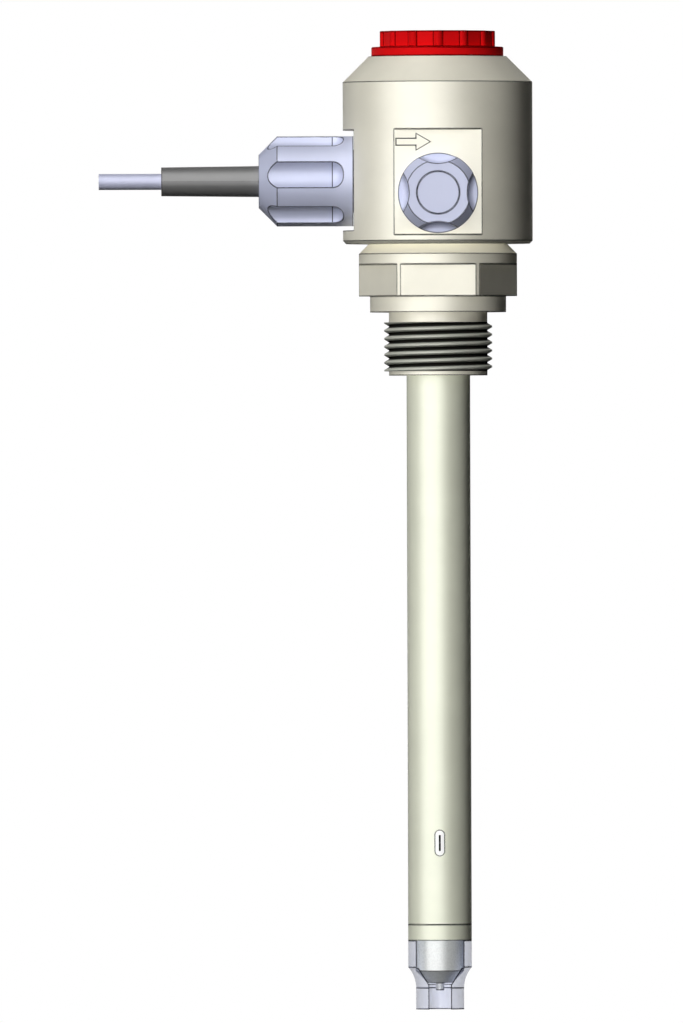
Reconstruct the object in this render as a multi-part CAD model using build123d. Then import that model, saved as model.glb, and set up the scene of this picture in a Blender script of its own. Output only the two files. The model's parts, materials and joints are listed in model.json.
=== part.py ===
from build123d import *
import os
from math import cos, sin, asin, sqrt, radians

# A process pH electrode: a wiring head with a screw cap, a cable gland and a blanked port,
# a screwed process connection, and an immersion shaft with a glass electrode in a tip guard.
# Millimetres. The origin is on the axis, at the sealing face under the collar. +Z is up,
# the cable gland points to -X and the blanked port to -Y.

# Fits, shared by all the pieces
bond_gap = 0.03            # radial, between pieces fixed to each other
slip_gap = 0.05            # between pieces that slide or turn on each other
thread_gap = 0.1           # radial, between a screwed cap and its thread
end_gap = 0.1              # axial, between a screwed cap and what it faces

# Glass electrode
glass_radius = 5.9
glass_wall = 0.8
glass_end_radius = 3.05    # flat end of its cone
glass_cone_height = 3.0
glass_edge_round = 0.25
membrane_radius = 1.05     # the small sensing pin at the end
membrane_length = 1.9
membrane_round = 0.2
inner_tube_radius = 2.6
inner_tube_wall = 0.6
silver_wire_radius = 0.4
measuring_wire_over_tip = 9.6    # from the glass's end up to the wire's, as the next two
reference_wire_over_tip = 29.6
sensor_over_tip = 15.6
sensor_radius = 0.75
diaphragm_radius = 0.6

# Immersion shaft and end ring
glass_clearance = 0.3      # radial, between the glass and the shaft's bore
shaft_wall = 1.75
shaft_reach = 153.0        # below the sealing face
shaft_socket_depth = 17.8  # how far the shaft goes up into the process connection
end_ring_height = 4.0
lower_seal_width = 1.05
lower_seal_room = 2.2      # height left for the lower seal in the shaft's end
junction_length = 6.2
junction_width = 2.15
junction_over_end = 20.4   # from the shaft's end up to the junction's centre
junction_slot_length = 4.1
junction_slot_width = 0.5

# Tip guard
guard_spigot_length = 7.8
guard_height = 17.25
guard_neck_end = 11.9      # from the guard's top to the end of its concave neck
guard_neck_curve = 7.85    # radius of the neck's concave arc
guard_low_radius = 6.0
guard_bore_radius = 2.72
guard_cavity_gap = 0.12    # between the glass and the guard's cavity
glass_show = 7.6           # cylinder of glass below the end ring
window_half_width = 5.85
window_drop = 6.9          # from the guard's top to the start of the window's taper
window_step = 0.5          # ledge at the start of the taper
window_taper = 4.2         # height of the taper

# Process connection
collar_radius = 17.0
collar_height = 4.0
relief_depth = 0.3         # recess in the sealing face, around the thread's neck
relief_width = 0.4         # how far it reaches past the thread
hexagon_flats = 34.8       # across flats
hexagon_height = 7.95
rim_radius = 19.75
rim_height = 2.65
top_cone = 2.5             # height and width of the 45 degree cone under the head
thread_radius = 13.5       # M27 x 2
thread_depth = 1.2
thread_lead = 0.6          # 45 degree lead at both ends of the thread
thread_length = 12.25
upper_neck = 2.5
end_neck = 1.05
spigot_radius = 10.0       # M20 spigot through the head's floor
spigot_over_nut = 1.5
base_seal_section = 0.8
lock_nut_flats = 25.0
lock_nut_height = 5.0
upper_seal_width = 2.0
upper_seal_room = 2.1

# Wiring head
head_radius = 23.7
head_wall = 6.1
head_height = 40.4         # of its cylinder
head_cone = 6.45           # height and width of the 45 degree cone on top
head_chamfer = 0.75
head_floor = 4.0
head_neck = 9.0            # length of the threaded opening
flat_depth = 2.7           # of the milled flats
gland_height = 32.8        # of the cable gland's axis
side_flat_below = 12.35
side_flat_above = 12.7
port_height = 29.6         # of the blanked port's axis
front_flat_below = 10.35
front_flat_above = 16.0

# Red screw cap
cap_thread_radius = 15.0   # M30
cap_skirt = 8.0
cap_skirt_wall = 2.4
cap_flange_lip = 1.5       # past the thread
cap_flange_height = 2.25
cap_knob_height = 4.0
cap_knob_flats = 13.62     # from the axis to the flats between the ribs
cap_rib_count = 13
cap_rib_radius = 1.3
cap_rib_reach = 14.5       # from the axis to a rib's crest
cap_first_rib = -89.35     # direction of one rib, in degrees from +X
cap_round = 0.3
cap_roof = 2.4
cap_dish_depth = 0.5
cap_dish_radius = 10.8
cap_seal_section = 0.65
cap_seal_undercut = 0.5    # depth of the seal's groove in the skirt

# Cable, gland and bend sleeve, lengths along the gland's axis from the side flat
cable_radius = 2.0
cable_jacket = 0.55
cable_core_radius = 0.5
cable_past_sleeve = 15.65
cable_into_head = 2.5      # past the chamber's wall
gland_thread_radius = 7.9
gland_spigot_radius = 6.0  # M12 in the head's wall
gland_spigot_past = 0.8    # past the chamber's wall
gland_body_length = 16.5
gland_pocket_depth = 10.5
gland_passage = 0.6        # radial, around the cable
gland_ring_section = 0.55
gland_seal_radius = 5.5
gland_seal_proud = 0.5
nut_radius = 11.25
nut_length = 23.65
nut_shoulder = 4.6         # 45 degree shoulder at its outer end
nut_wall = 0.9             # between its thread and the floor of a flute
flute_count = 6
flute_radius = 3.73
flute_start = 2.5          # from the nut's rim
flute_round = 2.75         # of the flute's closed end
first_flute = 8.35         # degrees above the viewer's side
sleeve_root_radius = 3.87  # at the nut's face
sleeve_tip_radius = 3.6
sleeve_length = 24.35      # outside the nut
sleeve_head_lip = 0.9
sleeve_head_height = 1.75

# Blanked port, lengths along its axis from the front flat
port_thread_radius = 6.2
port_spigot_radius = 4.8
port_spigot_past = 0.8
port_body_length = 8.5
port_pocket_depth = 6.5
port_wall = 1.0            # between the cap's thread and the floor of a scallop
port_ring_section = 0.45
port_seal_radius = 4.5
port_seal_proud = 0.5
port_cap_radius = 10.0
port_cap_length = 13.0
port_cap_bevel = 1.95
scallop_count = 4
scallop_radius = 8.65
scallop_start = 3.2
scallop_round = 1.7
plug_face_radius = 5.28
plug_flange_lip = 0.6
plug_flange_height = 1.8
plug_pin_radius = 2.4
plug_pin_length = 5.0

# Electronics on the electrode's cap
electrode_cap_flange = 9.5
electrode_cap_roof = 1.5
electrode_cap_skirt = 1.9  # down into the seal's pocket
holder_width = 14.0
holder_thickness = 6.0
holder_height = 7.0
board_thickness = 1.6
board_width = 18.0
board_height = 22.0
board_seat = 1.0           # above the electrode cap's flange
board_screw_radius = 1.0
board_screw_head = 1.9
board_screw_head_height = 1.2
board_screw_spacing = 9.0
board_screw_height = 4.2   # above the electrode cap's flange
terminal_width = 14.0
terminal_depth = 8.0
terminal_height = 8.0
terminal_drop = 2.0        # below the board's top edge
terminal_pitch = 3.4
terminal_count = 4
terminal_screw_radius = 1.2
terminal_screw_height = 1.0
core_grip = 2.5            # length of core inside the terminal block
core_bend = 2.2
core_rise = 5.0            # straight stretch under the terminal block
lead_radius = 1.0
lead_bend = 2.4
lead_offset = 4.6          # from the axis
lead_height = 9.0          # above the electrode cap's flange
chip_width = 7.0
chip_height = 7.0
chip_thickness = 1.8
capacitor_radius = 2.0
capacitor_height = 4.0
capacitor_spacing = 11.0
resistor_count = 4
resistor_size = 1.3
resistor_pitch = 2.6

# Places worked out from the sizes above
shaft_bore = glass_radius + glass_clearance
shaft_radius = shaft_bore + shaft_wall
lower_seal_radius = glass_radius + lower_seal_width
thread_top = -upper_neck
thread_end = thread_top - thread_length
connection_end = thread_end - end_neck
root_radius = thread_radius - thread_depth
socket_top = connection_end + shaft_socket_depth
hexagon_top = collar_height + hexagon_height
head_low = hexagon_top + rim_height + top_cone
floor_top = head_low + head_floor
head_shoulder = head_low + head_height
head_top = head_shoulder + head_cone
neck_low = head_top - head_neck
chamber_radius = head_radius - head_wall
opening_radius = cap_thread_radius + thread_gap
flat_distance = head_radius - flat_depth
lock_nut_top = floor_top + lock_nut_height
spigot_top = lock_nut_top + spigot_over_nut
upper_pocket_radius = glass_radius + upper_seal_width
upper_pocket_low = spigot_top - electrode_cap_skirt - upper_seal_room
cap_flange_top = spigot_top + electrode_cap_roof + slip_gap
cap_socket_top = spigot_top + slip_gap
glass_top = cap_socket_top - slip_gap
board_low = cap_flange_top + board_seat
board_top = board_low + board_height
board_face = board_thickness / 2
terminal_top = board_top - terminal_drop
terminal_low = terminal_top - terminal_height
ring_low = -shaft_reach - end_ring_height
guard_low = ring_low - guard_height
neck_end = ring_low - guard_neck_end
spigot_end = ring_low + guard_spigot_length
glass_shoulder = ring_low - glass_show
glass_tip = glass_shoulder - glass_cone_height
glass_floor = glass_tip + glass_wall
junction_height = junction_over_end - shaft_reach
wall_at_flat = head_wall - flat_depth
nut_bore = gland_thread_radius + thread_gap
nut_face = end_gap + nut_length
seal_low = gland_body_length - gland_pocket_depth
seal_high = gland_body_length + gland_seal_proud
sleeve_head_low = seal_high + end_gap
sleeve_head_high = sleeve_head_low + sleeve_head_height
sleeve_head_radius = gland_seal_radius + sleeve_head_lip
sleeve_end = nut_face + sleeve_length
cable_end = sleeve_end + cable_past_sleeve
cable_start = -wall_at_flat - cable_into_head
port_bore = port_thread_radius + thread_gap
port_face = end_gap + port_cap_length
port_seal_low = port_body_length - port_pocket_depth
port_seal_high = port_body_length + port_seal_proud
plug_flange_low = port_seal_high + end_gap
plug_flange_high = plug_flange_low + plug_flange_height
plug_flange_radius = plug_face_radius + plug_flange_lip

side_port = Plane(origin=(-flat_distance, 0, gland_height), x_dir=(0, -1, 0), z_dir=(-1, 0, 0))
front_port = Plane(origin=(0, -flat_distance, port_height), x_dir=(1, 0, 0), z_dir=(0, -1, 0))


def turned(*profile):
    """A solid turned about Z from (radius, height) corners."""
    corners = [(radius, 0, height) for radius, height in profile]
    return revolve(make_face(Polyline(*corners, close=True)), Axis.Z)


def rod(radius, low, high):
    """An upright cylinder between two heights."""
    upright = Cylinder(radius, high - low, align=(Align.CENTER, Align.CENTER, Align.MIN))
    return Pos(0, 0, low) * upright


def tube(inner, outer, low, high):
    """An upright tube between two heights."""
    return turned((inner, low), (outer, low), (outer, high), (inner, high))


def block(x, y, z):
    """A box from its lowest and highest x, y and z."""
    middle = Pos((x[0] + x[1]) / 2, (y[0] + y[1]) / 2, (z[0] + z[1]) / 2)
    return middle * Box(x[1] - x[0], y[1] - y[0], z[1] - z[0])


def o_ring(mean_radius, section, height):
    """A ring seal of round section about Z."""
    return Pos(0, 0, height) * Torus(mean_radius, section)


def rounded(solid, radius, end=-1):
    """The solid with the edges of its top rounded, or of its bottom if end is 0."""
    return fillet(solid.edges().group_by(Axis.Z)[end], radius)


def hexagon(flats, low, high):
    """A hexagonal prism with flats towards -Y and +Y."""
    outline = RegularPolygon(flats / 2, 6, major_radius=False)
    return Pos(0, 0, low) * extrude(outline, high - low)


def oblong(length, width, depth):
    """An upright oblong prism that runs from the axis out to -Y at the junction."""
    front = Plane(origin=(0, 0, junction_height), x_dir=(1, 0, 0), z_dir=(0, -1, 0))
    return extrude(front * SlotOverall(length, width, rotation=90), depth)


def wire(points, radius, bend):
    """A round wire along straight runs joined by arcs."""
    route = FilletPolyline(*points, radius=bend)
    section = Plane(origin=route @ 0, z_dir=route % 0) * Circle(radius)
    return sweep(section, path=route)


def fluted(solid, count, first, floor, radius, start, end, end_round):
    """The solid with ball-nosed flutes cut along it, open at its end."""
    cutter = rounded(rod(radius, start, end), end_round, 0)
    for number in range(count):
        turn = Rot(0, 0, first + number * 360 / count)
        solid = solid - turn * Pos(floor + radius, 0, 0) * cutter
    return solid


def head_housing():
    """The wiring head: a turned cup with a conical top, a threaded opening and two ports."""
    seat_radius = cap_thread_radius - cap_seal_undercut + 2 * cap_seal_section + 2 * slip_gap
    seat_low = head_top - 2 * cap_seal_section - 2 * slip_gap
    hole = spigot_radius + bond_gap
    body = turned(
        (hole, head_low),
        (head_radius - head_chamfer, head_low),
        (head_radius, head_low + head_chamfer),
        (head_radius, head_shoulder),
        (head_radius - head_cone, head_top),
        (seat_radius, head_top),
        (seat_radius, seat_low),
        (opening_radius, seat_low),
        (opening_radius, neck_low),
        (chamber_radius, neck_low - (chamber_radius - opening_radius)),
        (chamber_radius, floor_top),
        (hole, floor_top),
    )
    outside = head_radius + 1
    side_flat = block(
        (-outside, -flat_distance),
        (-outside, outside),
        (gland_height - side_flat_below, gland_height + side_flat_above),
    )
    front_flat = block(
        (-outside, outside),
        (-outside, -flat_distance),
        (port_height - front_flat_below, port_height + front_flat_above),
    )
    gland_hole = side_port * rod(gland_spigot_radius + bond_gap, -head_wall - 1, 1)
    port_hole = front_port * rod(port_spigot_radius + bond_gap, -head_wall - 1, 1)
    return body - side_flat - front_flat - gland_hole - port_hole


def process_connection():
    """The screwed connection, turned from hexagonal stock, with its spigot into the head."""
    socket = shaft_radius + bond_gap
    relief = thread_radius + relief_width
    groove = spigot_radius + 2 * base_seal_section + 2 * slip_gap
    groove_low = head_low - 2 * base_seal_section - 2 * slip_gap
    body = turned(
        (socket, connection_end),
        (root_radius, connection_end),
        (root_radius, thread_end),
        (thread_radius - thread_lead, thread_end),
        (thread_radius, thread_end + thread_lead),
        (thread_radius, thread_top - thread_lead),
        (thread_radius - thread_lead, thread_top),
        (root_radius, thread_top),
        (root_radius, relief_depth),
        (relief, relief_depth),
        (relief, 0),
        (collar_radius, 0),
        (collar_radius, collar_height),
        (rim_radius, collar_height),
        (rim_radius, hexagon_top + rim_height),
        (rim_radius - top_cone, head_low),
        (groove, head_low),
        (groove, groove_low),
        (spigot_radius, groove_low),
        (spigot_radius, spigot_top),
        (upper_pocket_radius, spigot_top),
        (upper_pocket_radius, upper_pocket_low),
        (shaft_bore, upper_pocket_low),
        (shaft_bore, socket_top),
        (socket, socket_top),
    )
    outside = rod(rim_radius + 1, collar_height, hexagon_top)
    return body - (outside - hexagon(hexagon_flats, collar_height, hexagon_top))


def base_seal():
    """The ring seal between the process connection and the head."""
    mean_radius = spigot_radius + slip_gap + base_seal_section
    return o_ring(mean_radius, base_seal_section, head_low - slip_gap - base_seal_section)


def lock_nut():
    """The thin nut that clamps the process connection in the head's floor."""
    nut = hexagon(lock_nut_flats, floor_top, lock_nut_top)
    return nut - rod(spigot_radius + bond_gap, floor_top - 1, lock_nut_top + 1)


def shaft_tube():
    """The immersion shaft, counterbored at its end and pierced for the junction."""
    seal_step = spigot_end + lower_seal_room
    body = turned(
        (shaft_bore, socket_top - slip_gap),
        (shaft_bore, seal_step),
        (lower_seal_radius + bond_gap, seal_step),
        (lower_seal_radius + bond_gap, -shaft_reach),
        (shaft_radius, -shaft_reach),
        (shaft_radius, socket_top - slip_gap),
    )
    hole = oblong(junction_length + 2 * bond_gap, junction_width + 2 * bond_gap, shaft_radius + 1)
    return body - hole


def junction_insert():
    """The oblong insert in the shaft's wall, with the slot that wets the diaphragm."""
    plug = oblong(junction_length, junction_width, shaft_radius + 1)
    wall = tube(shaft_bore, shaft_radius, junction_height - junction_length,
                junction_height + junction_length)
    slot = oblong(junction_slot_length, junction_slot_width, shaft_radius + 1)
    return (plug & wall) - slot


def end_ring():
    """The plain ring between the shaft and the tip guard."""
    return tube(lower_seal_radius + bond_gap, shaft_radius, ring_low, -shaft_reach)


def tip_guard():
    """The waisted guard around the glass tip, with a tapered window in its front."""
    cavity = glass_radius + guard_cavity_gap
    taper_top = glass_shoulder - guard_cavity_gap
    curve_middle = guard_low_radius + guard_neck_curve
    curve_angle = asin(sqrt(1 - ((curve_middle - shaft_radius) / guard_neck_curve) ** 2))
    neck_start = neck_end + guard_neck_curve * sin(curve_angle)
    neck_middle = (
        curve_middle - guard_neck_curve * cos(curve_angle / 2),
        0,
        neck_end + guard_neck_curve * sin(curve_angle / 2),
    )
    upper_outline = Polyline(
        (cavity, 0, taper_top),
        (cavity, 0, spigot_end),
        (lower_seal_radius, 0, spigot_end),
        (lower_seal_radius, 0, ring_low),
        (shaft_radius, 0, ring_low),
        (shaft_radius, 0, neck_start),
    )
    neck = ThreePointArc((shaft_radius, 0, neck_start), neck_middle, (guard_low_radius, 0, neck_end))
    lower_outline = Polyline(
        (guard_low_radius, 0, neck_end),
        (guard_low_radius, 0, guard_low),
        (guard_bore_radius, 0, guard_low),
        (guard_bore_radius, 0, taper_top - (cavity - guard_bore_radius)),
        (cavity, 0, taper_top),
    )
    body = revolve(make_face([upper_outline, neck, lower_outline]), Axis.Z)
    taper_low = ring_low - window_drop - window_taper
    half_outline = [
        (window_half_width, ring_low),
        (window_half_width, ring_low - window_drop),
        (window_half_width - window_step, ring_low - window_drop),
        (guard_bore_radius, taper_low),
        (guard_bore_radius, guard_low - 1),
    ]
    mirrored = [(-across, height) for across, height in reversed(half_outline)]
    window = Plane.XZ * make_face(Polyline(*half_outline, *mirrored, close=True))
    return body - extrude(window, shaft_radius + 1)


def lower_seal():
    """The ring seal at the shaft's end, pressed by the guard's spigot."""
    section = (lower_seal_width - 2 * slip_gap) / 2
    return o_ring(glass_radius + slip_gap + section, section, spigot_end + slip_gap + section)


def upper_seal():
    """The ring seal around the glass in the top of the process connection."""
    section = (upper_seal_width - 2 * slip_gap) / 2
    return o_ring(glass_radius + slip_gap + section, section, upper_pocket_low + slip_gap + section)


def electrode_glass():
    """The glass body, closed by a cone at its lower end."""
    bore = glass_radius - glass_wall
    outer = turned(
        (0, glass_tip),
        (glass_end_radius, glass_tip),
        (glass_radius, glass_shoulder),
        (glass_radius, glass_top),
        (0, glass_top),
    )
    outer = rounded(outer, glass_edge_round, 0)
    hollow = turned(
        (0, glass_floor),
        (glass_end_radius - glass_wall / 3, glass_floor),
        (bore, glass_shoulder),
        (bore, glass_top + 1),
        (0, glass_top + 1),
    )
    across = Plane(origin=(0, 0, junction_height), z_dir=(0, -1, 0))
    return outer - hollow - across * rod(diaphragm_radius, 0, glass_radius + 1)


def reference_diaphragm():
    """The porous plug in the glass wall, behind the junction insert's slot."""
    across = Plane(origin=(0, 0, junction_height), z_dir=(0, -1, 0))
    wall = tube(glass_radius - glass_wall, glass_radius, junction_height - 1, junction_height + 1)
    return (across * rod(diaphragm_radius, 0, glass_radius + 1)) & wall


def membrane_tip():
    """The small sensing pin of membrane glass at the electrode's end."""
    return rounded(rod(membrane_radius, glass_tip - membrane_length, glass_tip), membrane_round, 0)


def inner_tube():
    """The glass tube that holds the measuring wire."""
    bore = inner_tube_radius - inner_tube_wall
    room = glass_end_radius - glass_wall / 3 - slip_gap
    return tube(bore, min(inner_tube_radius, room), glass_floor + slip_gap, glass_top)


def measuring_wire():
    """The silver wire in the inner tube."""
    return rod(silver_wire_radius, glass_tip + measuring_wire_over_tip, glass_top)


def inner_track():
    """The radius half-way between the inner tube and the glass body's wall."""
    return (inner_tube_radius + glass_radius - glass_wall) / 2


def reference_wire():
    """The silver wire beside the inner tube."""
    upright = rod(silver_wire_radius, glass_tip + reference_wire_over_tip, glass_top)
    return Pos(0, -inner_track(), 0) * upright


def temperature_sensor():
    """The slim sensor sheath beside the inner tube."""
    return Pos(0, inner_track(), 0) * rod(sensor_radius, glass_tip + sensor_over_tip, glass_top)


def electrode_cap():
    """The moulded cap on the glass: it presses the upper seal and holds the board upright."""
    skirt = tube(
        glass_radius + bond_gap,
        upper_pocket_radius - slip_gap,
        spigot_top - electrode_cap_skirt,
        cap_socket_top,
    )
    flange = rod(electrode_cap_flange, cap_socket_top, cap_flange_top)
    holder = block(
        (-holder_thickness / 2, holder_thickness / 2),
        (-holder_width / 2, holder_width / 2),
        (cap_flange_top, cap_flange_top + holder_height),
    )
    board_slot = block(
        (-board_face - slip_gap, board_face + slip_gap),
        (-board_width, board_width),
        (board_low - slip_gap, cap_flange_top + holder_height + 1),
    )
    lead_hole = Pos(lead_offset, 0, 0) * rod(lead_radius + slip_gap, cap_socket_top - 1, cap_flange_top + 1)
    return skirt + flange + (holder - board_slot) - lead_hole - board_screw_holes(slip_gap)


def board_screw_places():
    """The planes of the two board screws, looking out to +X."""
    height = cap_flange_top + board_screw_height
    sides = (-board_screw_spacing / 2, board_screw_spacing / 2)
    return [Plane(origin=(holder_thickness / 2, side, height), z_dir=(1, 0, 0)) for side in sides]


def board_screw_holes(clearance):
    """The shanks of the board screws with a clearance, through board and holder."""
    shank = rod(board_screw_radius + clearance, -holder_thickness - 1, 1)
    first, second = [place * shank for place in board_screw_places()]
    return first + second


def circuit_board():
    """The upright amplifier board."""
    plate = block(
        (-board_face, board_face),
        (-board_width / 2, board_width / 2),
        (board_low, board_top),
    )
    return plate - board_screw_holes(slip_gap)


def board_screws():
    """The two pan-head screws that hold the board."""
    shank = rod(board_screw_radius, -holder_thickness, 0)
    head = rounded(rod(board_screw_head, 0, board_screw_head_height), board_screw_head_height / 3)
    return Compound([place * (shank + head) for place in board_screw_places()])


def terminal_rows():
    """Where the terminals stand along the board's width."""
    first = -terminal_pitch * (terminal_count - 1) / 2
    return [first + number * terminal_pitch for number in range(terminal_count)]


def terminal_block():
    """The terminal block on the gland's side of the board, with wire and screw holes."""
    body = block(
        (-board_face - terminal_depth, -board_face),
        (-terminal_width / 2, terminal_width / 2),
        (terminal_low, terminal_top),
    )
    wire_hole = rod(cable_core_radius + slip_gap, terminal_low - 1, terminal_low + core_grip + slip_gap)
    screw_hole = rod(terminal_screw_radius + slip_gap, -terminal_screw_height - slip_gap, 1)
    for row in terminal_rows():
        body = body - Pos(-board_face - terminal_depth / 2, row, 0) * wire_hole
        body = body - terminal_face(row) * screw_hole
    return body


def terminal_face(row):
    """The plane of a terminal's screw, looking out to -X."""
    height = (terminal_low + terminal_top) / 2
    return Plane(origin=(-board_face - terminal_depth, row, height), z_dir=(-1, 0, 0))


def terminal_screws():
    """The clamp screws in the terminal block, one for each core."""
    slot = block(
        (-terminal_screw_radius * 2, terminal_screw_radius * 2),
        (-terminal_screw_radius / 5, terminal_screw_radius / 5),
        (-terminal_screw_height / 2, 1),
    )
    screw = rod(terminal_screw_radius, -terminal_screw_height, 0) - slot
    return Compound([terminal_face(row) * screw for row in terminal_rows()])


def amplifier_chip():
    """The amplifier's package on the far side of the board."""
    middle = (board_low + holder_height + board_top) / 2
    return block(
        (board_face, board_face + chip_thickness),
        (-chip_width / 2, chip_width / 2),
        (middle - chip_height / 2, middle + chip_height / 2),
    )


def capacitors():
    """Two round capacitors above the chip."""
    height = board_top - capacitor_radius - slip_gap
    can = rounded(rod(capacitor_radius, 0, capacitor_height), capacitor_radius / 6)
    sides = (-capacitor_spacing / 2, capacitor_spacing / 2)
    return Compound([Plane(origin=(board_face, side, height), z_dir=(1, 0, 0)) * can for side in sides])


def resistors():
    """A row of chip resistors above the chip."""
    height = board_top - resistor_size
    first = -resistor_pitch * (resistor_count - 1) / 2
    half = resistor_size / 2
    chips = []
    for number in range(resistor_count):
        side = (first + number * resistor_pitch) / 2
        chips.append(block(
            (board_face, board_face + half),
            (side - half / 2, side + half / 2),
            (height - half, height + half),
        ))
    return Compound(chips)


def electrode_lead():
    """The screened lead from the electrode's cap to the board."""
    top = cap_flange_top + lead_height
    points = ((lead_offset, 0, glass_top), (lead_offset, 0, top), (board_face, 0, top))
    return wire(points, lead_radius, lead_bend)


def gland_body():
    """The gland's nipple, screwed into the side flat, with a pocket for its seal."""
    groove = gland_spigot_radius + 2 * gland_ring_section + 2 * slip_gap
    groove_top = 2 * gland_ring_section + slip_gap
    passage = cable_radius + gland_passage
    pocket = gland_seal_radius + bond_gap
    body = turned(
        (passage, -wall_at_flat - gland_spigot_past),
        (gland_spigot_radius, -wall_at_flat - gland_spigot_past),
        (gland_spigot_radius, groove_top),
        (groove, groove_top),
        (groove, 0),
        (gland_thread_radius, 0),
        (gland_thread_radius, gland_body_length),
        (pocket, gland_body_length),
        (pocket, seal_low),
        (passage, seal_low),
    )
    return side_port * body


def gland_ring():
    """The ring seal between the gland's nipple and the side flat."""
    mean_radius = gland_spigot_radius + slip_gap + gland_ring_section
    return side_port * o_ring(mean_radius, gland_ring_section, gland_ring_section)


def gland_seal():
    """The rubber bush that grips the cable."""
    return side_port * tube(cable_radius + bond_gap, gland_seal_radius, seal_low, seal_high)


def gland_nut():
    """The fluted nut of the cable gland."""
    seat_radius = sleeve_head_radius + slip_gap
    seat_high = sleeve_head_high + end_gap
    body = turned(
        (nut_bore, end_gap),
        (nut_radius, end_gap),
        (nut_radius, nut_face - nut_shoulder),
        (nut_radius - nut_shoulder, nut_face),
        (sleeve_root_radius + thread_gap, nut_face),
        (sleeve_root_radius + thread_gap, seat_high),
        (seat_radius, seat_high),
        (seat_radius, gland_body_length + end_gap),
        (nut_bore, gland_body_length + end_gap),
    )
    return side_port * fluted(
        body, flute_count, first_flute, nut_bore + nut_wall, flute_radius,
        end_gap + flute_start, nut_face + 1, flute_round,
    )


def bend_sleeve():
    """The tapered rubber sleeve on the cable, held in the gland nut by its head."""
    bore = cable_radius + slip_gap
    body = turned(
        (bore, sleeve_head_low),
        (sleeve_head_radius, sleeve_head_low),
        (sleeve_head_radius, sleeve_head_high),
        (sleeve_root_radius, sleeve_head_high),
        (sleeve_root_radius, nut_face),
        (sleeve_tip_radius, sleeve_end),
        (bore, sleeve_end),
    )
    return side_port * body


def cable():
    """The cable's jacket, straight from the head's chamber to its cut end."""
    return side_port * tube(cable_radius - cable_jacket, cable_radius, cable_start, cable_end)


def cable_cores():
    """The four cores, from the cable's cut end to the terminal block."""
    spread = (cable_radius - cable_jacket - cable_core_radius - bond_gap) * cos(radians(45))
    cut_end = -flat_distance - cable_end
    bend_start = -flat_distance - cable_start + 2 * core_bend
    entry = -board_face - terminal_depth / 2
    outer, inner, inner_far, outer_far = terminal_rows()
    starts = ((-spread, -spread), (-spread, spread), (spread, spread), (spread, -spread))
    cores = []
    for (side, rise), row in zip(starts, (outer, inner, inner_far, outer_far)):
        points = (
            (cut_end, side, gland_height + rise),
            (bend_start, side, gland_height + rise),
            (entry, row, terminal_low - core_rise),
            (entry, row, terminal_low + core_grip),
        )
        cores.append(wire(points, cable_core_radius, core_bend))
    return Compound(cores)


def port_body():
    """The nipple of the blanked port."""
    groove = port_spigot_radius + 2 * port_ring_section + 2 * slip_gap
    groove_top = 2 * port_ring_section + slip_gap
    passage = plug_pin_radius + slip_gap
    pocket = port_seal_radius + bond_gap
    body = turned(
        (passage, -wall_at_flat - port_spigot_past),
        (port_spigot_radius, -wall_at_flat - port_spigot_past),
        (port_spigot_radius, groove_top),
        (groove, groove_top),
        (groove, 0),
        (port_thread_radius, 0),
        (port_thread_radius, port_body_length),
        (pocket, port_body_length),
        (pocket, port_seal_low),
        (passage, port_seal_low),
    )
    return front_port * body


def port_ring():
    """The ring seal between the port's nipple and the front flat."""
    mean_radius = port_spigot_radius + slip_gap + port_ring_section
    return front_port * o_ring(mean_radius, port_ring_section, port_ring_section)


def port_seal():
    """The rubber bush around the blanking plug's pin."""
    return front_port * tube(plug_pin_radius + slip_gap, port_seal_radius, port_seal_low, port_seal_high)


def port_cap():
    """The scalloped cap of the blanked port."""
    seat_radius = plug_flange_radius + slip_gap
    seat_high = plug_flange_high + end_gap
    body = turned(
        (port_bore, end_gap),
        (port_cap_radius, end_gap),
        (port_cap_radius, port_face - port_cap_bevel),
        (port_cap_radius - port_cap_bevel, port_face),
        (plug_face_radius + slip_gap, port_face),
        (plug_face_radius + slip_gap, seat_high),
        (seat_radius, seat_high),
        (seat_radius, port_body_length + end_gap),
        (port_bore, port_body_length + end_gap),
    )
    return front_port * fluted(
        body, scallop_count, 0, port_bore + port_wall, scallop_radius,
        end_gap + scallop_start, port_face + 1, scallop_round,
    )


def blanking_plug():
    """The plug that closes the port, flush with the port cap's face."""
    body = turned(
        (0, plug_flange_low - plug_pin_length),
        (plug_pin_radius, plug_flange_low - plug_pin_length),
        (plug_pin_radius, plug_flange_low),
        (plug_flange_radius, plug_flange_low),
        (plug_flange_radius, plug_flange_high),
        (plug_face_radius, plug_flange_high),
        (plug_face_radius, port_face),
        (0, port_face),
    )
    return front_port * body


def red_cap():
    """The screw cap: a threaded hollow skirt, a flange and a knob with half-round ribs."""
    flange_low = head_top + end_gap
    flange_top = flange_low + cap_flange_height
    knob_top = flange_top + cap_knob_height
    groove_low = head_top - 2 * cap_seal_section - 2 * slip_gap
    flange = rounded(rod(cap_thread_radius + cap_flange_lip, flange_low, flange_top), cap_round)
    skirt = rod(cap_thread_radius, head_top - cap_skirt, groove_low)
    neck = rod(cap_thread_radius - cap_seal_undercut, groove_low, flange_low)
    outline = RegularPolygon(cap_knob_flats, cap_rib_count, major_radius=False, rotation=cap_first_rib)
    knob = rounded(Pos(0, 0, flange_top) * extrude(outline, cap_knob_height), cap_round)
    rib = Pos(cap_rib_reach - cap_rib_radius, 0, 0) * rounded(
        rod(cap_rib_radius, flange_top, knob_top), cap_round
    )
    for number in range(cap_rib_count):
        knob = knob + Rot(0, 0, cap_first_rib + number * 360 / cap_rib_count) * rib
    dish = rod(cap_dish_radius, knob_top - cap_dish_depth, knob_top + 1)
    hollow = rod(cap_thread_radius - cap_skirt_wall, head_top - cap_skirt - 1, knob_top - cap_roof)
    return flange + skirt + neck + knob - dish - hollow


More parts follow.
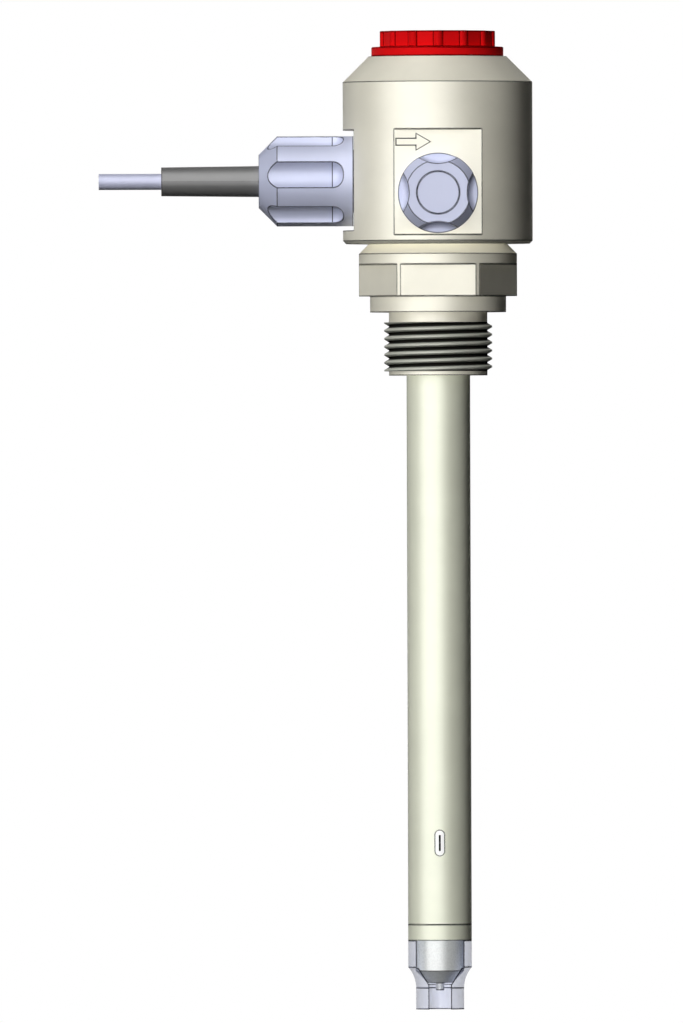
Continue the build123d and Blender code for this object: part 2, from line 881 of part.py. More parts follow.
def cap_seal():
    """The ring seal in the groove under the red cap's flange."""
    mean_radius = cap_thread_radius - cap_seal_undercut + slip_gap + cap_seal_section
    return o_ring(mean_radius, cap_seal_section, head_top - slip_gap - cap_seal_section)


pieces = (
    head_housing, process_connection, base_seal, lock_nut,
    shaft_tube, junction_insert, end_ring, tip_guard, lower_seal, upper_seal,
    electrode_glass, membrane_tip, reference_diaphragm, inner_tube, measuring_wire,
    reference_wire, temperature_sensor, electrode_cap, electrode_lead,
    circuit_board, board_screws, terminal_block, terminal_screws,
    amplifier_chip, capacitors, resistors,
    gland_body, gland_ring, gland_seal, gland_nut, bend_sleeve, cable, cable_cores,
    port_body, port_ring, port_seal, port_cap, blanking_plug,
    red_cap, cap_seal,
)

os.makedirs("parts", exist_ok=True)
for piece in pieces:
    export_step(piece(), f"parts/{piece.__name__}.step")
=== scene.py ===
import json
from math import cos, hypot, pi, radians, sin, tan, tau

import bpy
import bmesh
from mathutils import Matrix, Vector


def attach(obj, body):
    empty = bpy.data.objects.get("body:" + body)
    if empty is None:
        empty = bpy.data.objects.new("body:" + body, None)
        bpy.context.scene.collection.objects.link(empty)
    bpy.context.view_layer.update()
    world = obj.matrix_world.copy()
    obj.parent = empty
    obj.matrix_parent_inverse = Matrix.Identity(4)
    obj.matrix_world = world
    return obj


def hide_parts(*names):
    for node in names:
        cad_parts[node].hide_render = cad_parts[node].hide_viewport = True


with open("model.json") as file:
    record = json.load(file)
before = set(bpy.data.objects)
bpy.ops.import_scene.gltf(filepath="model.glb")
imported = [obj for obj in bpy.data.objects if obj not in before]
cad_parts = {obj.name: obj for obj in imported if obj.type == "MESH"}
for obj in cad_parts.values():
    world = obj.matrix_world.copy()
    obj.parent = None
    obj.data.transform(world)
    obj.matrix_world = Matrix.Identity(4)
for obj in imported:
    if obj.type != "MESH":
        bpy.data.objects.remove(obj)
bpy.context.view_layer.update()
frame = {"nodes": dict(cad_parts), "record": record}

# A process pH electrode: wiring head, cable gland, blanked port, screwed connection and shaft.
# Everything is in metres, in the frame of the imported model: the origin is on the axis at the
# sealing face, +Z is up, the cable gland points to -X and the blanked port to -Y.
MM = 0.001
X, Y, Z = range(3)

# Camera: a long lens square to the front, with the small roll that the picture has
LENS_MM = 1050
CAMERA_DISTANCE = 7.459
CAMERA_X = -24.3 * MM
CAMERA_Z = -49.74 * MM
CAMERA_ROLL = radians(0.173)
CLIP_START = 0.1
CLIP_END = 30

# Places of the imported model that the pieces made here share
GLAND_HEIGHT = 32.8 * MM
PORT_HEIGHT = 29.6 * MM
FLAT_DISTANCE = 21.0 * MM

# Cable: straight from the head's chamber through the gland and its sleeve to the cut end
CABLE_RADIUS = 2.0 * MM
CABLE_JACKET = 0.55 * MM
CABLE_START_X = -15.1 * MM
NUT_FACE_X = -44.75 * MM
SLEEVE_END_X = -69.1 * MM
CUT_END_X = -84.75 * MM
CABLE_ROUTE = (
    (CABLE_START_X, 0, GLAND_HEIGHT),
    (NUT_FACE_X, 0, GLAND_HEIGHT),
    (SLEEVE_END_X, 0, GLAND_HEIGHT),
    (CUT_END_X, 0, GLAND_HEIGHT),
)
CABLE_FILLER_DEPTH = 0.6 * MM
CABLE_CENTRE = 0.05 * MM   # radius of the last face, in the middle of the filling
CABLE_END_STEPS = 48

# Process connection, as radius and height from the sealing face
SOCKET_RADIUS = 7.98 * MM
COLLAR_RADIUS = 17.0 * MM
COLLAR_HEIGHT = 4.0 * MM
RELIEF_RADIUS = 13.9 * MM
RELIEF_DEPTH = 0.3 * MM
HEXAGON_FLATS = 34.8 * MM
HEXAGON_TOP = 11.95 * MM
RIM_RADIUS = 19.75 * MM
RIM_TOP = 14.6 * MM
CONE_TOP = 17.1 * MM
CONE_WIDTH = 2.5 * MM
SPIGOT_RADIUS = 10.0 * MM
SPIGOT_TOP = 27.6 * MM
GROOVE_RADIUS = 11.7 * MM
GROOVE_DEPTH = 1.7 * MM
POCKET_RADIUS = 7.9 * MM
POCKET_LOW = 23.6 * MM
SHAFT_BORE = 6.2 * MM
SOCKET_TOP = 2.0 * MM
NECK_TOP = -2.5 * MM
THREAD_END = -14.75 * MM
CONNECTION_END = -15.8 * MM
CONNECTION_STEPS = 240

# Its thread
THREAD_RADIUS = 13.5 * MM
ROOT_RADIUS = 12.3 * MM
THREAD_PITCH = 2.0 * MM
THREAD_CREST = 0.4 * MM
THREAD_FLANK = radians(30)
THREAD_ROUNDING = 0.08 * MM
THREAD_SUNK = 0.1 * MM     # how far its foot goes into the root
THREAD_PHASE = -3.6 * MM   # height of a crest on the +X side
THREAD_STEPS = 96          # in a turn
# Painted shade in the thread's grooves: the roots are painted dark up to this height, and the crest's
# outer part is left free of it
ROOT_SHADE_HEIGHT = 0.3 * MM    # up to which the root is dark all over
UNSHADED_CREST_DEPTH = 0.1 * MM     # of the crest that is clean all over

# Mark on the front flat: a plain arrow, inlaid
ARROW_MIDDLE = (-6.15 * MM, 42.4 * MM)
ARROW_LENGTH = 8.6 * MM
ARROW_HEAD = 3.6 * MM
ARROW_HALF_HEIGHT = 2.1 * MM
ARROW_HALF_SHAFT = 0.85 * MM
ARROW_LINE = 0.2 * MM

# Lamps. An azimuth is in degrees from the camera's side, to the right. A level is how bright a
# lamp makes a white surface that faces it.
KEY_AZIMUTH = -25
KEY_ELEVATION = 28
KEY_LEVEL = 0.81
KEY_SHADOW_SHARE = 0.12    # of the key light that casts shadows
BACK_AZIMUTH = 166
BACK_LEVEL = 0.60
LAMP_DISTANCE = 2.0
LAMP_SIZE = 0.6

# World: what gloss shows is a soft box round the key lamps' direction, and white on the left
AMBIENT = 0.015
GLOSS_LEVEL = 7.5
GLOSS_INNER = radians(30)
GLOSS_OUTER = radians(62)
GLOSS_LEFT = 0.15
GLOSS_RIGHT = 0.01
LEFT_FULL = -0.7           # sideways part of the direction where the white is full
LEFT_START = 0.4           # and where it starts

# Floor
FLOOR_HEIGHT = -0.19
FLOOR_RADIUS = 0.29
FLOOR_STEPS = 96
FLOOR_COLOUR = (0.85, 0.85, 0.85)
FLOOR_BOUNCE = (0.15, 0.15, 0.15)   # its colour for the light that it throws at the object
FLOOR_FADE_START = 0.35    # share of the radius where it starts to fade into white
FLOOR_FADE_END = 0.98
FLOOR_WHITE = 0.72         # share of plain white in its middle

# Finish
SHARP_ANGLE = radians(24)  # from which an edge isn't shaded smooth
LINE_REACH = 0.44 * MM     # how far the dark line along a sharp edge fades
LINE_START = 0.9995        # cosine between the bevelled and the real normal where it starts
LINE_FULL = 0.993          # and where it is full
LINE_SAMPLES = 6
MARK_WIDTH = 0.22 * MM     # of the lines where a cutter's run ends
MARK_FADE = 0.2            # share of that width over which a mark's sides fade
MOTTLE_SCALE = 90
MOTTLE_DETAIL = 4
MOTTLE_RANGE = (0.3, 0.7)
GRAIN_SCALE = 2600
GRAIN_DETAIL = 2
GRAIN_RANGE = (0.2, 0.8)
GRAIN_HEIGHT = 0.1 * MM
ROUGHNESS_SPREAD = 0.05
RING_PERIOD = 0.35 * MM    # of the marks that turning leaves
RING_DISTORTION = 0.6
WAVE_TURN = 20             # radians that a wave texture of scale 1 runs through in a metre
PLAIN_SPECULAR = 0.5

# Where a cutter's run ends: the gland nut's flutes, the port cap's scallops, the guard's neck
FLUTE_END = -26.35 * MM
NUT_RADIUS = 11.25 * MM
SCALLOP_END = -26.0 * MM
PORT_CAP_RADIUS = 10.0 * MM
GUARD_NECK_END = -168.9 * MM

# The junction's slot, painted dark inside as painted shade, because most of the key light casts no
# shadow there
JUNCTION_HEIGHT = -132.6 * MM
SLOT_REACH = 7.7 * MM
SLOT_SHADE_WIDTH = 0.9 * MM
SLOT_SHADE_HEIGHT = 7.0 * MM

# The sockets of a Mix node that are for colours
MIX_FIRST = 6
MIX_SECOND = 7
MIX_RESULT = 2


def link(tree, output, target):
    tree.links.new(output, target)


def feed(tree, operand, socket):
    """Links an output to a socket, or sets the socket to a number, a vector or an (r, g, b)."""
    if isinstance(operand, bpy.types.NodeSocket):
        link(tree, operand, socket)
    elif socket.type == "RGBA":
        socket.default_value = (*operand, 1)
    else:
        socket.default_value = operand


def add_node(tree, kind, **settings):
    """A new node with its properties set."""
    node = tree.nodes.new(kind)
    for name, value in settings.items():
        setattr(node, name, value)
    return node


def math_node(tree, operation, first, second=0.0):
    """The output of a Math node; each operand is a socket or a number."""
    node = add_node(tree, "ShaderNodeMath", operation=operation)
    feed(tree, first, node.inputs[0])
    feed(tree, second, node.inputs[1])
    return node.outputs[0]


def dot_product(tree, first, second):
    """The dot product of two vectors; each is a socket or a vector."""
    node = add_node(tree, "ShaderNodeVectorMath", operation="DOT_PRODUCT")
    feed(tree, first, node.inputs[0])
    feed(tree, second, node.inputs[1])
    return node.outputs["Value"]


def split(tree, vector):
    """The X, Y and Z of a vector."""
    node = add_node(tree, "ShaderNodeSeparateXYZ")
    link(tree, vector, node.inputs[0])
    return node.outputs


def ramp(tree, value, low, high, start=0.0, end=1.0):
    """value mapped smoothly from low..high to start..end."""
    node = add_node(tree, "ShaderNodeMapRange", interpolation_type="SMOOTHSTEP")
    link(tree, value, node.inputs["Value"])
    node.inputs["From Min"].default_value = low
    node.inputs["From Max"].default_value = high
    node.inputs["To Min"].default_value = start
    node.inputs["To Max"].default_value = end
    return node.outputs["Result"]


def noise(tree, place, scale, detail):
    """A noise texture's value at a place."""
    node = add_node(tree, "ShaderNodeTexNoise")
    node.inputs["Scale"].default_value = scale
    node.inputs["Detail"].default_value = detail
    link(tree, place, node.inputs["Vector"])
    return node.outputs["Fac"]


def mixed(tree, factor, first, second):
    """Two colours mixed; each is a socket or an (r, g, b)."""
    node = add_node(tree, "ShaderNodeMix", data_type="RGBA")
    link(tree, factor, node.inputs["Factor"])
    feed(tree, first, node.inputs[MIX_FIRST])
    feed(tree, second, node.inputs[MIX_SECOND])
    return node.outputs[MIX_RESULT]


def off_axis(tree, parts, axis, centre=(0, 0, 0)):
    """The distance of a split place from a line along an axis through a centre."""
    squares = []
    for other in (X, Y, Z):
        if other != axis:
            away = math_node(tree, "SUBTRACT", parts[other], centre[other])
            squares.append(math_node(tree, "POWER", away, 2.0))
    return math_node(tree, "SQRT", math_node(tree, "ADD", *squares))


def make_edge_group():
    """A mask of the thin band along sharp edges: there the bevelled normal leaves the real one."""
    group = bpy.data.node_groups.new("edge_band", "ShaderNodeTree")
    group.interface.new_socket("Mask", in_out="OUTPUT", socket_type="NodeSocketFloat")
    bevel = add_node(group, "ShaderNodeBevel", samples=LINE_SAMPLES)
    bevel.inputs["Radius"].default_value = LINE_REACH
    geometry = add_node(group, "ShaderNodeNewGeometry")
    alike = dot_product(group, bevel.outputs["Normal"], geometry.outputs["Normal"])
    output = add_node(group, "NodeGroupOutput")
    link(group, ramp(group, alike, LINE_START, LINE_FULL), output.inputs["Mask"])
    return group


edge_group = make_edge_group()


def band_mask(tree, place, axis, position, centre=(0, 0, 0), within=None, width=MARK_WIDTH):
    """A mask of a band at a place along an axis, within a radius of that axis if given."""
    parts = split(tree, place)
    off = math_node(tree, "ABSOLUTE", math_node(tree, "SUBTRACT", parts[axis], position))
    fade = MARK_WIDTH * MARK_FADE
    mask = ramp(tree, off, (width + fade) / 2, (width - fade) / 2)
    if within is None:
        return mask
    inside = math_node(tree, "LESS_THAN", off_axis(tree, parts, axis, centre), within)
    return math_node(tree, "MULTIPLY", mask, inside)


def finish(name, colour, roughness, line_and_shade_colour=(0.005, 0.005, 0.004), mottle=0.03, grain=0.02,
           turned=0.0, specular=PLAIN_SPECULAR, tint=(1, 1, 1), coat=0.0, coat_roughness=0.3,
           metallic=0.0, alpha=1.0, dark_band=None, edges=True):
    """A moulded or turned surface: faint colour mottle, fine grain, dark lines at its edges, and a
    dark band where given, which in the junction's slot is painted shade.
    """
    material = bpy.data.materials.new(name)
    material.use_nodes = True
    tree = material.node_tree
    shader = tree.nodes["Principled BSDF"]
    shader.inputs["Specular IOR Level"].default_value = specular
    shader.inputs["Specular Tint"].default_value = (*tint, 1)
    shader.inputs["Metallic"].default_value = metallic
    shader.inputs["Coat Weight"].default_value = coat
    shader.inputs["Coat Roughness"].default_value = coat_roughness
    place = add_node(tree, "ShaderNodeTexCoord").outputs["Object"]

    cloud = noise(tree, place, MOTTLE_SCALE, MOTTLE_DETAIL)
    darker = tuple(channel * (1 - 2 * mottle) for channel in colour)
    body = mixed(tree, ramp(tree, cloud, *MOTTLE_RANGE), darker, colour)
    lines_and_shade = None
    if edges:
        lines_and_shade = add_node(tree, "ShaderNodeGroup", node_tree=edge_group).outputs["Mask"]
    # A dark band as given: a line where a cutter's run ends, and in the junction's slot painted shade
    if dark_band:
        banded = band_mask(tree, place, *dark_band)
        lines_and_shade = math_node(tree, "MAXIMUM", lines_and_shade, banded) if lines_and_shade else banded
    if lines_and_shade:
        body = mixed(tree, lines_and_shade, body, line_and_shade_colour)
        changes = [("Specular IOR Level", specular, 0.0)]
        if coat:
            changes.append(("Coat Weight", coat, 0.0))
        if alpha < 1:
            changes.append(("Alpha", alpha, 1.0))
        for socket, plain, in_band in changes:
            link(tree, ramp(tree, lines_and_shade, 0.0, 1.0, plain, in_band), shader.inputs[socket])
    link(tree, body, shader.inputs["Base Color"])

    speck = noise(tree, place, GRAIN_SCALE, GRAIN_DETAIL)
    dullness = ramp(tree, speck, *GRAIN_RANGE, roughness - ROUGHNESS_SPREAD,
                    roughness + ROUGHNESS_SPREAD)
    link(tree, dullness, shader.inputs["Roughness"])

    bump = add_node(tree, "ShaderNodeBump")
    bump.inputs["Strength"].default_value = grain
    bump.inputs["Distance"].default_value = GRAIN_HEIGHT
    height = speck
    if turned:
        rings = add_node(tree, "ShaderNodeTexWave", bands_direction="Z")
        rings.inputs["Scale"].default_value = tau / (WAVE_TURN * RING_PERIOD)
        rings.inputs["Distortion"].default_value = RING_DISTORTION
        link(tree, place, rings.inputs["Vector"])
        scaled = math_node(tree, "MULTIPLY", rings.outputs["Fac"], turned)
        height = math_node(tree, "ADD", height, scaled)
    link(tree, height, bump.inputs["Height"])
    link(tree, bump.outputs["Normal"], shader.inputs["Normal"])
    return material


def finish_thread():
    """The threaded stretch: greyed crests, and painted shade in the grooves: roots painted dark and
    without gloss.
    """
    material = finish("process_thread", (0.56, 0.57, 0.50), 0.45, mottle=0.06, grain=0.05,
                      edges=False)
    tree = material.node_tree
    shader = tree.nodes["Principled BSDF"]
    place = add_node(tree, "ShaderNodeTexCoord").outputs["Object"]
    radius = off_axis(tree, split(tree, place), Z)
    # Painted shade: darker and without gloss from the crests down into the roots
    unshaded = ramp(tree, radius, ROOT_RADIUS + ROOT_SHADE_HEIGHT, THREAD_RADIUS - UNSHADED_CREST_DEPTH)
    before = shader.inputs["Base Color"].links[0].from_socket
    link(tree, mixed(tree, unshaded, (0.012, 0.012, 0.010), before), shader.inputs["Base Color"])
    gloss = ramp(tree, unshaded, 0.0, 1.0, 0.0, PLAIN_SPECULAR)
    link(tree, gloss, shader.inputs["Specular IOR Level"])
    return material


def make_finishes():
    """A material for each slot of the record, and one each for nut, port cap, arrow and thread."""
    ivory = dict(specular=0.8, coat=0.5, coat_roughness=0.35)
    plain_lavender = (0.56, 0.59, 0.76)
    lavender = dict(specular=0.62, line_and_shade_colour=(0.004, 0.004, 0.008))
    nut_line = (X, FLUTE_END, (0, 0, GLAND_HEIGHT), NUT_RADIUS - MARK_WIDTH)
    cap_line = (Y, SCALLOP_END, (0, 0, PORT_HEIGHT), PORT_CAP_RADIUS - MARK_WIDTH)
    # Painted shade in the junction's slot: a dark band on the insert's walls and one on the glass
    # behind it
    slot_wall_shade = (X, 0.0, (0, 0, JUNCTION_HEIGHT), SLOT_REACH, SLOT_SHADE_WIDTH)
    slot_floor_shade = (Z, JUNCTION_HEIGHT, (0, 0, 0), None, SLOT_SHADE_HEIGHT)
    return {
        "head": finish("ivory_head", (0.86, 0.83, 0.70), 0.42, turned=0.5, **ivory),
        "shaft": finish("ivory_shaft", (0.89, 0.91, 0.74), 0.40, turned=0.6, **ivory),
        "cap_red": finish("red_cap", (0.74, 0.006, 0.008), 0.40, specular=0.12, tint=(1, 0.2, 0.2),
                          line_and_shade_colour=(0.03, 0, 0)),
        "gland": finish("lavender_plastic", plain_lavender, 0.40, **lavender),
        "nut": finish("lavender_nut", plain_lavender, 0.40, dark_band=nut_line, **lavender),
        "port_cap": finish("lavender_port_cap", plain_lavender, 0.40, dark_band=cap_line, **lavender),
        "sleeve": finish("sleeve_rubber", (0.155, 0.155, 0.153), 0.42, grain=0.08),
        "seal": finish("seal_rubber", (0.02, 0.02, 0.02), 0.5, grain=0.05),
        "cable": finish("cable_jacket", (0.58, 0.60, 0.77), 0.42, grain=0.0, specular=0.65,
                        edges=False),
        "cores": finish("wire_insulation", (0.72, 0.70, 0.62), 0.4),
        "guard": finish("guard_plastic", (0.70, 0.74, 0.92), 0.35, alpha=0.42, specular=0.6,
                        line_and_shade_colour=(0.02, 0.02, 0.03), dark_band=(Z, GUARD_NECK_END)),
        # The glass is painted dark, as painted shade, where the junction's slot shows it
        "glass": finish("electrode_glass", (0.77, 0.79, 0.78), 0.28, specular=0.8, coat=0.5,
                        mottle=0.01, grain=0.002, line_and_shade_colour=(0.02, 0.02, 0.02), dark_band=slot_floor_shade),
        "membrane": finish("membrane_glass", (0.80, 0.82, 0.86), 0.15, mottle=0.01, grain=0.002,
                           line_and_shade_colour=(0.05, 0.05, 0.06)),
        "inner_glass": finish("inner_glass", (0.8, 0.85, 0.85), 0.1, alpha=0.35, grain=0.002),
        "silver": finish("silver_wire", (0.80, 0.79, 0.77), 0.3, metallic=1.0),
        "steel": finish("steel", (0.55, 0.55, 0.56), 0.32, metallic=1.0, turned=0.3),
        # The insert's slot walls are painted dark, as painted shade
        "insert": finish("white_insert", (0.97, 0.97, 0.96), 0.42, mottle=0.01, specular=1.0,
                         coat=0.7, dark_band=slot_wall_shade, edges=False),
        "ceramic": finish("wet_ceramic", (0.05, 0.048, 0.045), 0.8, grain=0.3, mottle=0.1),
        "inner_plastic": finish("black_moulding", (0.03, 0.03, 0.032), 0.4),
        "board": finish("circuit_board", (0.012, 0.10, 0.035), 0.35, mottle=0.15),
        "terminal": finish("terminal_block", (0.03, 0.22, 0.08), 0.4),
        "chip": finish("black_package", (0.015, 0.015, 0.016), 0.5),
        "ink": finish("engraving_ink", (0.008, 0.008, 0.007), 0.6, specular=0.0, edges=False),
        "aluminium": finish("capacitor_can", (0.80, 0.80, 0.81), 0.25, metallic=1.0),
        "thread": finish_thread(),
    }


def dress_nodes(finishes):
    """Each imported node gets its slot's material; two have one with their cutter's marks."""
    own = {"gland_nut": "nut", "port_cap": "port_cap"}
    for part in frame["record"]["subparts"]:
        node = frame["nodes"][part["node"]]
        for holder in node.material_slots:
            holder.material = finishes[own.get(part["node"], part["material_slot"])]


def new_object(name, data):
    """An object in the scene's collection."""
    made = bpy.data.objects.new(name, data)
    bpy.context.collection.objects.link(made)
    return made


def new_piece(name, data, body, slot, *materials):
    """An object in the scene that rides on a body and takes the materials given to it; the slot is
    not used.
    """
    piece = new_object(name, data)
    for material in materials:
        piece.data.materials.append(material)
    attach(piece, body)
    return piece


def mesh_from(name, build):
    """A mesh filled by build(bm), shaded smooth between its sharp edges."""
    mesh = bpy.data.meshes.new(name)
    bm = bmesh.new()
    build(bm)
    bmesh.ops.recalc_face_normals(bm, faces=bm.faces[:])
    for face in bm.faces:
        face.smooth = True
    bm.to_mesh(mesh)
    bm.free()
    mesh.set_sharp_from_angle(angle=SHARP_ANGLE)
    return mesh


def tube_curve(name, kind, places, radius, smoothness):
    """A round tube along a new curve, and the curve's spline."""
    curve = bpy.data.curves.new(name, "CURVE")
    curve.dimensions = "3D"
    curve.bevel_depth = radius
    curve.bevel_resolution = smoothness
    spline = curve.splines.new(kind)
    spline.points.add(len(places) - 1)
    for point, place in zip(spline.points, places):
        point.co = (*place, 1)
    return curve, spline


def turn_angles(steps):
    return [tau * number / steps for number in range(steps)]


def join_rows(bm, rows):
    """Faces between each row of vertices and the next; a row is a closed loop."""
    for row, after in zip(rows, rows[1:]):
        for number in range(len(row)):
            beside = (number + 1) % len(row)
            bm.faces.new((row[number], row[beside], after[beside], after[number]))


def lathe(bm, rings, angles):
    """A closed surface through rings; each is (height, radius), with radius a number or f(angle)."""
    rows = []
    for height, radius in rings:
        row = []
        for angle in angles:
            reach = radius(angle) if callable(radius) else radius
            row.append(bm.verts.new((reach * cos(angle), reach * sin(angle), height)))
        rows.append(row)
    join_rows(bm, rows + rows[:1])


def helix(bm, section, pitch, phase, first_turn, last_turn):
    """A right-hand ridge about Z: section is (radius, height) corners about a crest."""
    rows = []
    for step in range(round(first_turn * THREAD_STEPS), round(last_turn * THREAD_STEPS) + 1):
        angle = tau * step / THREAD_STEPS
        middle = phase + pitch * step / THREAD_STEPS
        rows.append([
            bm.verts.new((radius * cos(angle), radius * sin(angle), middle + height))
            for radius, height in section
        ])
    join_rows(bm, rows)
    bm.faces.new(rows[0])
    bm.faces.new(list(reversed(rows[-1])))


def trim(bm, height, up):
    """Cuts what lies above (up) or below a height away and closes the cut."""
    cut = bmesh.ops.bisect_plane(
        bm,
        geom=bm.verts[:] + bm.edges[:] + bm.faces[:],
        plane_co=(0, 0, height),
        plane_no=(0, 0, 1 if up else -1),
        clear_outer=True,
    )
    edges = [item for item in cut["geom_cut"] if isinstance(item, bmesh.types.BMEdge)]
    bmesh.ops.triangle_fill(bm, edges=edges, use_beauty=True)


def hexagon_radius(angle):
    """How far the hexagon reaches, its corners cut at the rim's radius; flats face -Y and +Y."""
    sixth = tau / 6
    off_flat = (angle - pi / 2 + sixth / 2) % sixth - sixth / 2
    return min(RIM_RADIUS, HEXAGON_FLATS / 2 / cos(off_flat))


def connection_body(bm):
    """The process connection up to its thread's roots."""
    lathe(bm, (
        (CONNECTION_END, SOCKET_RADIUS),
        (CONNECTION_END, ROOT_RADIUS),
        (THREAD_END, ROOT_RADIUS),
        (NECK_TOP, ROOT_RADIUS),
        (RELIEF_DEPTH, ROOT_RADIUS),
        (RELIEF_DEPTH, RELIEF_RADIUS),
        (0, RELIEF_RADIUS),
        (0, COLLAR_RADIUS),
        (COLLAR_HEIGHT, COLLAR_RADIUS),
        (COLLAR_HEIGHT, hexagon_radius),
        (HEXAGON_TOP, hexagon_radius),
        (HEXAGON_TOP, RIM_RADIUS),
        (RIM_TOP, RIM_RADIUS),
        (CONE_TOP, RIM_RADIUS - CONE_WIDTH),
        (CONE_TOP, GROOVE_RADIUS),
        (CONE_TOP - GROOVE_DEPTH, GROOVE_RADIUS),
        (CONE_TOP - GROOVE_DEPTH, SPIGOT_RADIUS),
        (SPIGOT_TOP, SPIGOT_RADIUS),
        (SPIGOT_TOP, POCKET_RADIUS),
        (POCKET_LOW, POCKET_RADIUS),
        (POCKET_LOW, SHAFT_BORE),
        (SOCKET_TOP, SHAFT_BORE),
        (SOCKET_TOP, SOCKET_RADIUS),
    ), turn_angles(CONNECTION_STEPS))


def connection_thread(bm):
    """The thread's ridge, cut square at both ends."""
    inside = ROOT_RADIUS - THREAD_SUNK
    half_crest = THREAD_CREST / 2
    half_foot = half_crest + (THREAD_RADIUS - inside) * tan(THREAD_FLANK)
    section = (
        (inside, -half_foot),
        (THREAD_RADIUS - THREAD_ROUNDING, -half_crest - THREAD_ROUNDING / 2),
        (THREAD_RADIUS, -half_crest + THREAD_ROUNDING / 2),
        (THREAD_RADIUS, half_crest - THREAD_ROUNDING / 2),
        (THREAD_RADIUS - THREAD_ROUNDING, half_crest + THREAD_ROUNDING / 2),
        (inside, half_foot),
    )
    first = (THREAD_END - THREAD_PHASE) / THREAD_PITCH - 1
    last = (NECK_TOP - THREAD_PHASE) / THREAD_PITCH + 1
    helix(bm, section, THREAD_PITCH, THREAD_PHASE, first, last)
    trim(bm, NECK_TOP, True)
    trim(bm, THREAD_END, False)


def add_connection(finishes):
    """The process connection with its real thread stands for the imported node."""
    body = new_piece(
        "threaded_connection", mesh_from("threaded_connection", connection_body),
        "probe", "head", finishes["head"], finishes["thread"],
    )
    outer = (SOCKET_RADIUS + ROOT_RADIUS) / 2
    for face in body.data.polygons:
        threaded = THREAD_END < face.center.z < NECK_TOP
        if threaded and hypot(face.center.x, face.center.y) > outer:
            face.material_index = 1
    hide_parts("process_connection")
    new_piece(
        "process_thread", mesh_from("process_thread", connection_thread),
        "probe", "head", finishes["thread"],
    )


def cable_end(bm):
    """The cable's cut face: the jacket's ring, and the filling a little behind it."""
    inner = CABLE_RADIUS - CABLE_JACKET
    rings = (
        (0, CABLE_RADIUS),
        (0, inner),
        (CABLE_FILLER_DEPTH, inner),
        (CABLE_FILLER_DEPTH, CABLE_CENTRE),
    )
    rows = []
    for depth, radius in rings:
        rows.append([
            bm.verts.new((CUT_END_X + depth, radius * cos(angle), GLAND_HEIGHT + radius * sin(angle)))
            for angle in turn_angles(CABLE_END_STEPS)
        ])
    join_rows(bm, rows)
    bm.faces.new(rows[-1])


def add_cable(finishes):
    """The cable, straight out of the gland to its cut end, and the filling in that end."""
    curve, spline = tube_curve("cable_jacket", "NURBS", CABLE_ROUTE, CABLE_RADIUS, 20)
    spline.order_u = 3
    spline.use_endpoint_u = True
    curve.resolution_u = 8
    cable = new_piece("cable_jacket", curve, "probe", "cable", finishes["cable"])
    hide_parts("cable")
    end = new_piece("cable_cut_end", mesh_from("cable_cut_end", cable_end), "probe", "cable",
                    finishes["cable"])


def add_arrow(finishes):
    """A plain arrow inlaid in the front flat, over the port."""
    middle_x, middle_z = ARROW_MIDDLE
    half = ARROW_LENGTH / 2
    shoulder = half - ARROW_HEAD
    outline = (
        (-half, -ARROW_HALF_SHAFT),
        (shoulder, -ARROW_HALF_SHAFT),
        (shoulder, -ARROW_HALF_HEIGHT),
        (half, 0),
        (shoulder, ARROW_HALF_HEIGHT),
        (shoulder, ARROW_HALF_SHAFT),
        (-half, ARROW_HALF_SHAFT),
    )
    places = [(middle_x + across, -FLAT_DISTANCE, middle_z + up) for across, up in outline]
    curve, spline = tube_curve("port_arrow", "POLY", places, ARROW_LINE, 2)
    spline.use_cyclic_u = True
    new_piece("port_arrow", curve, "probe", "chip", finishes["ink"])


def toward(azimuth, elevation):
    """The direction to a place round the object; azimuth 0 is the camera's side, 90 the right."""
    turn, rise = radians(azimuth), radians(elevation)
    return Vector((sin(turn) * cos(rise), -cos(turn) * cos(rise), sin(rise)))


def add_lamp(name, azimuth, elevation, level, shadow=True):
    """A soft box aimed at the object. It lights the surfaces, and gloss shows the world's."""
    data = bpy.data.lights.new(name, "AREA")
    data.shape = "SQUARE"
    data.size = LAMP_SIZE
    data.energy = level * (pi * LAMP_DISTANCE) ** 2
    data.use_shadow = shadow
    lamp = new_object(name, data)
    away = toward(azimuth, elevation)
    lamp.location = Vector((0, 0, CAMERA_Z)) + away * LAMP_DISTANCE
    lamp.rotation_euler = away.to_track_quat("Z", "Y").to_euler()
    lamp.visible_camera = False
    lamp.visible_glossy = False


def add_lamps():
    """The key light is two lamps at one place, most of it without shadows; one more is behind."""
    add_lamp("key_lamp", KEY_AZIMUTH, KEY_ELEVATION, KEY_LEVEL * (1 - KEY_SHADOW_SHARE), False)
    add_lamp("key_shadow_lamp", KEY_AZIMUTH, KEY_ELEVATION, KEY_LEVEL * KEY_SHADOW_SHARE)
    add_lamp("back_lamp", BACK_AZIMUTH, KEY_ELEVATION, BACK_LEVEL)


def add_world():
    """White to the camera and through glass. Gloss shows a soft box, and white on the left."""
    world = bpy.data.worlds.new("studio")
    bpy.context.scene.world = world
    world.use_nodes = True
    tree = world.node_tree
    background = tree.nodes["Background"]
    background.inputs["Color"].default_value = (1, 1, 1, 1)
    rays = add_node(tree, "ShaderNodeLightPath")
    direction = add_node(tree, "ShaderNodeTexCoord").outputs["Generated"]
    near_key = dot_product(tree, direction, toward(KEY_AZIMUTH, KEY_ELEVATION))
    box = ramp(tree, near_key, cos(GLOSS_OUTER), cos(GLOSS_INNER), 0.0, GLOSS_LEVEL)
    left = ramp(tree, split(tree, direction)[X], LEFT_START, LEFT_FULL, GLOSS_RIGHT, GLOSS_LEFT)
    seen = math_node(tree, "MAXIMUM", box, left)
    gloss = math_node(tree, "MULTIPLY", rays.outputs["Is Glossy Ray"], seen)
    clear = math_node(tree, "MAXIMUM", rays.outputs["Is Camera Ray"],
                      rays.outputs["Is Transmission Ray"])
    strength = math_node(tree, "MAXIMUM", math_node(tree, "MAXIMUM", clear, gloss), AMBIENT)
    link(tree, strength, background.inputs["Strength"])


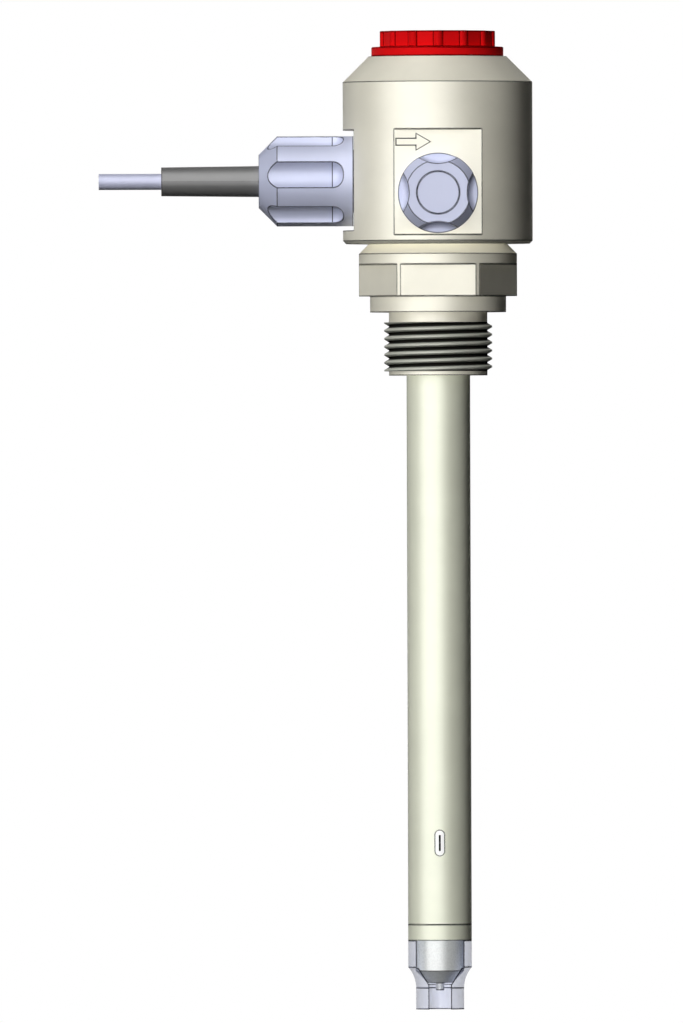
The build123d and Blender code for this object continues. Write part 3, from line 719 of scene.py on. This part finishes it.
def floor_finish():
    """A pale floor that fades into white for the camera, and throws little light at the object."""
    material = bpy.data.materials.new("pale_floor")
    material.use_nodes = True
    tree = material.node_tree
    tree.nodes.remove(tree.nodes["Principled BSDF"])
    matt = add_node(tree, "ShaderNodeBsdfDiffuse")
    white = add_node(tree, "ShaderNodeEmission")
    white.inputs["Strength"].default_value = 1.0
    rays = add_node(tree, "ShaderNodeLightPath")
    tone = mixed(tree, rays.outputs["Is Camera Ray"], FLOOR_BOUNCE, FLOOR_COLOUR)
    link(tree, tone, matt.inputs["Color"])
    place = add_node(tree, "ShaderNodeTexCoord").outputs["Object"]
    distance = add_node(tree, "ShaderNodeVectorMath", operation="LENGTH")
    link(tree, place, distance.inputs[0])
    fade = ramp(tree, distance.outputs["Value"], FLOOR_RADIUS * FLOOR_FADE_START,
                FLOOR_RADIUS * FLOOR_FADE_END, FLOOR_WHITE, 1.0)
    share = math_node(tree, "MULTIPLY", fade, rays.outputs["Is Camera Ray"])
    blend = add_node(tree, "ShaderNodeMixShader")
    link(tree, share, blend.inputs["Fac"])
    link(tree, matt.outputs[0], blend.inputs[1])
    link(tree, white.outputs[0], blend.inputs[2])
    link(tree, blend.outputs[0], tree.nodes["Material Output"].inputs["Surface"])
    return material


def add_floor():
    """A round floor under the tip, which keeps the object's shadow."""
    mesh = bpy.data.meshes.new("floor")
    bm = bmesh.new()
    bmesh.ops.create_circle(bm, cap_ends=True, radius=FLOOR_RADIUS, segments=FLOOR_STEPS)
    bm.to_mesh(mesh)
    bm.free()
    mesh.materials.append(floor_finish())
    floor = new_object("floor", mesh)
    floor.location = (0, 0, FLOOR_HEIGHT)


def add_camera():
    """The camera looks along +Y."""
    data = bpy.data.cameras.new("camera")
    data.lens = LENS_MM
    data.clip_start = CLIP_START
    data.clip_end = CLIP_END
    camera = new_object("camera", data)
    camera.location = (CAMERA_X, -CAMERA_DISTANCE, CAMERA_Z)
    camera.rotation_euler = (radians(90), CAMERA_ROLL, 0)
    bpy.context.scene.camera = camera


add_camera()
finishes = make_finishes()
dress_nodes(finishes)
add_cable(finishes)
add_connection(finishes)
add_arrow(finishes)
add_world()
add_lamps()
add_floor()
bpy.context.scene.view_settings.view_transform = "Standard"
